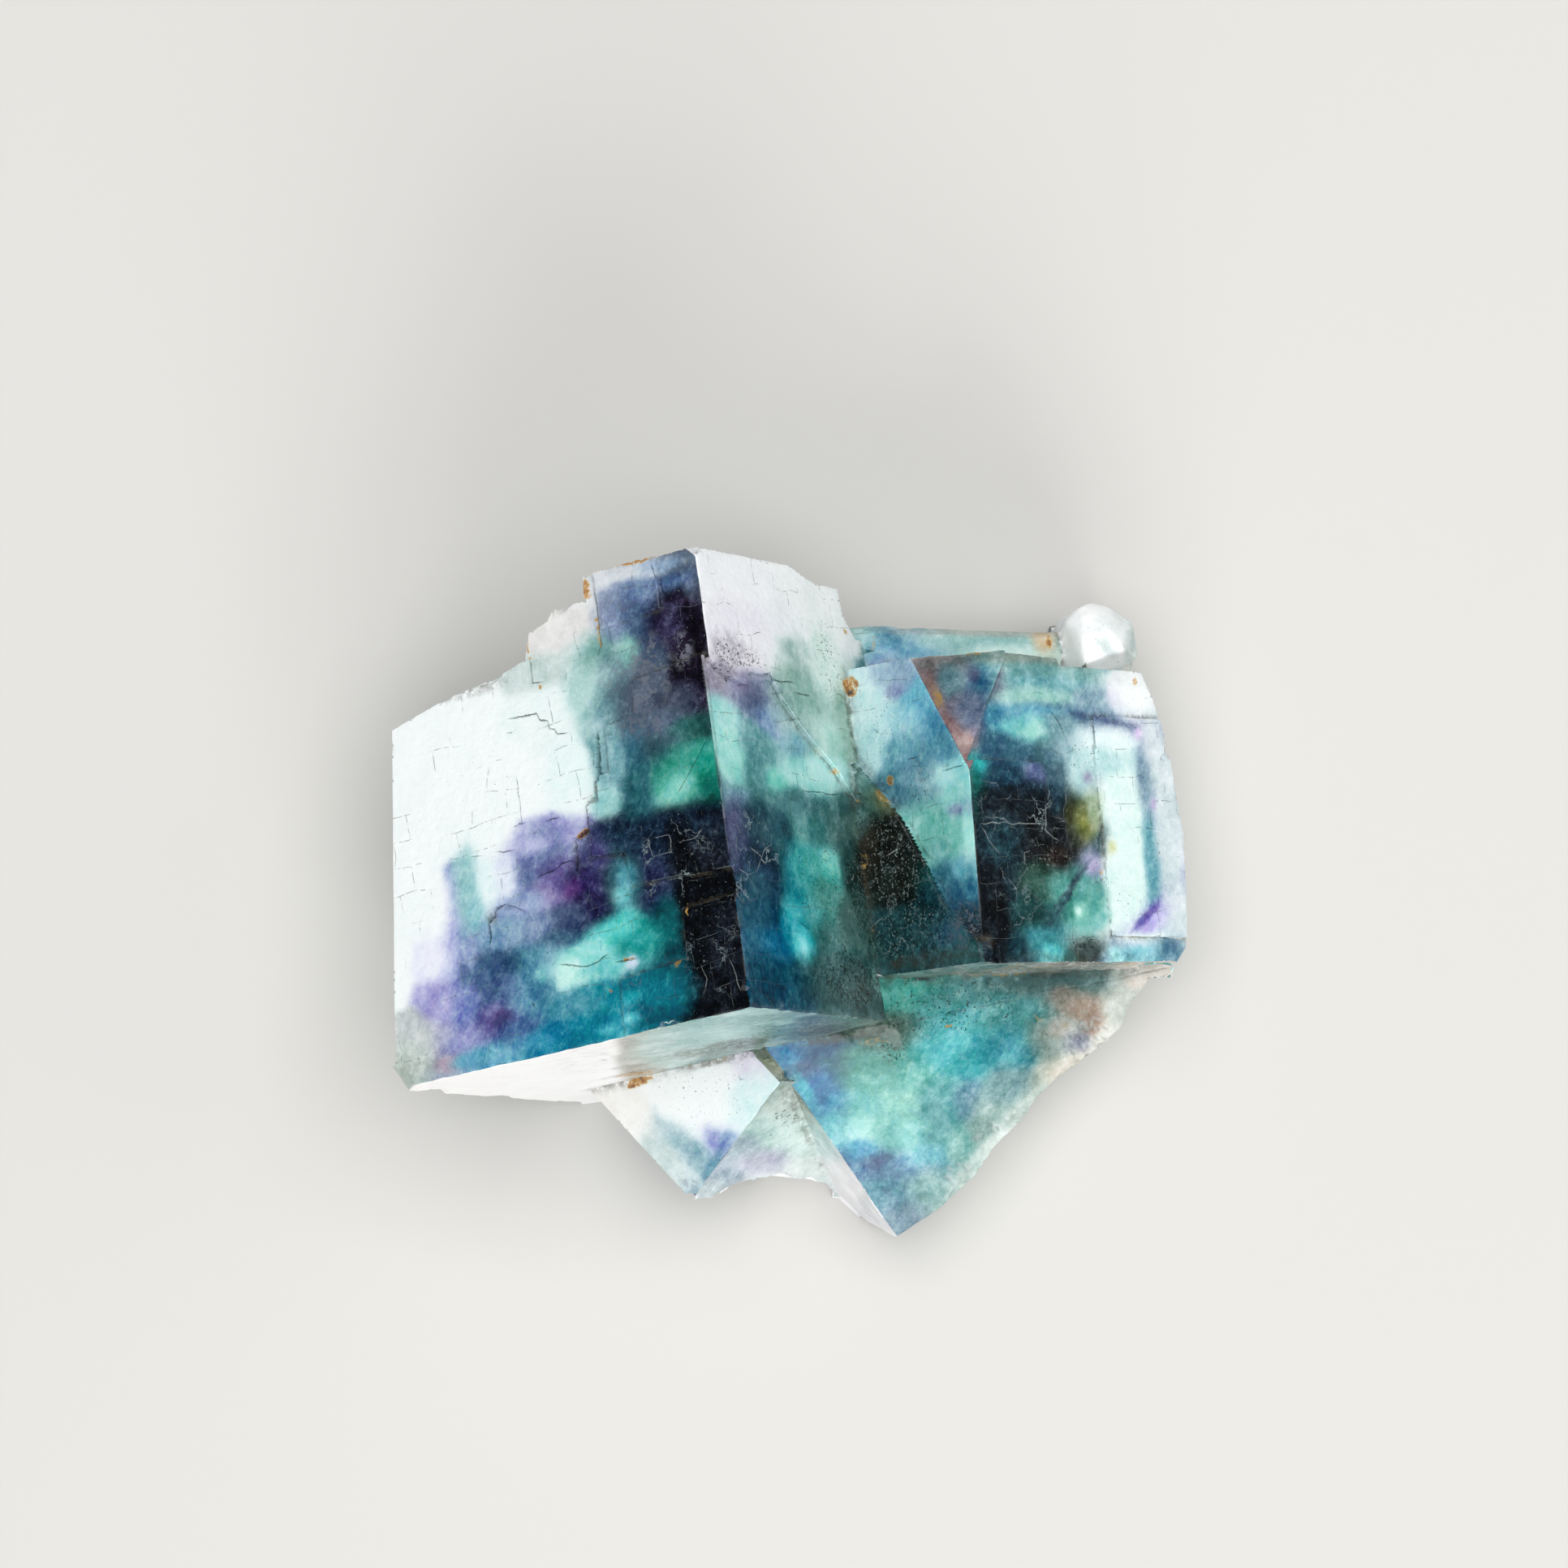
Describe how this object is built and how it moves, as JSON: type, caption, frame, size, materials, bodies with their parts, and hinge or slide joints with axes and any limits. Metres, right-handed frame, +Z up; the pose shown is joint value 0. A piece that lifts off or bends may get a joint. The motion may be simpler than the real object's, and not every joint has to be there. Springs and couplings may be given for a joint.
{
  "type": "fluorite crystal cluster",
  "caption": "Intergrown cubic fluorite crystals on a flat broken back, with stepped growth layers, chipped edges and a low front spur.",
  "frame": {"origin": "middle of the bounding box, on the flat broken back that the cluster rests on", "axes": "+X along the longest extent, to the right with the crystal faces seen; +Z up, out of the resting face towards the crystal faces"},
  "size_m": [0.0282, 0.0246, 0.0178],
  "materials": {
    "fluorite": "translucent natural crystal, mint, teal, indigo and violet zones, frosted growth faces, dark grime in the cracks and iron stains"
  },
  "bodies": {
    "root": {"fluorite_cluster": "fluorite"}
  },
  "joints": []
}
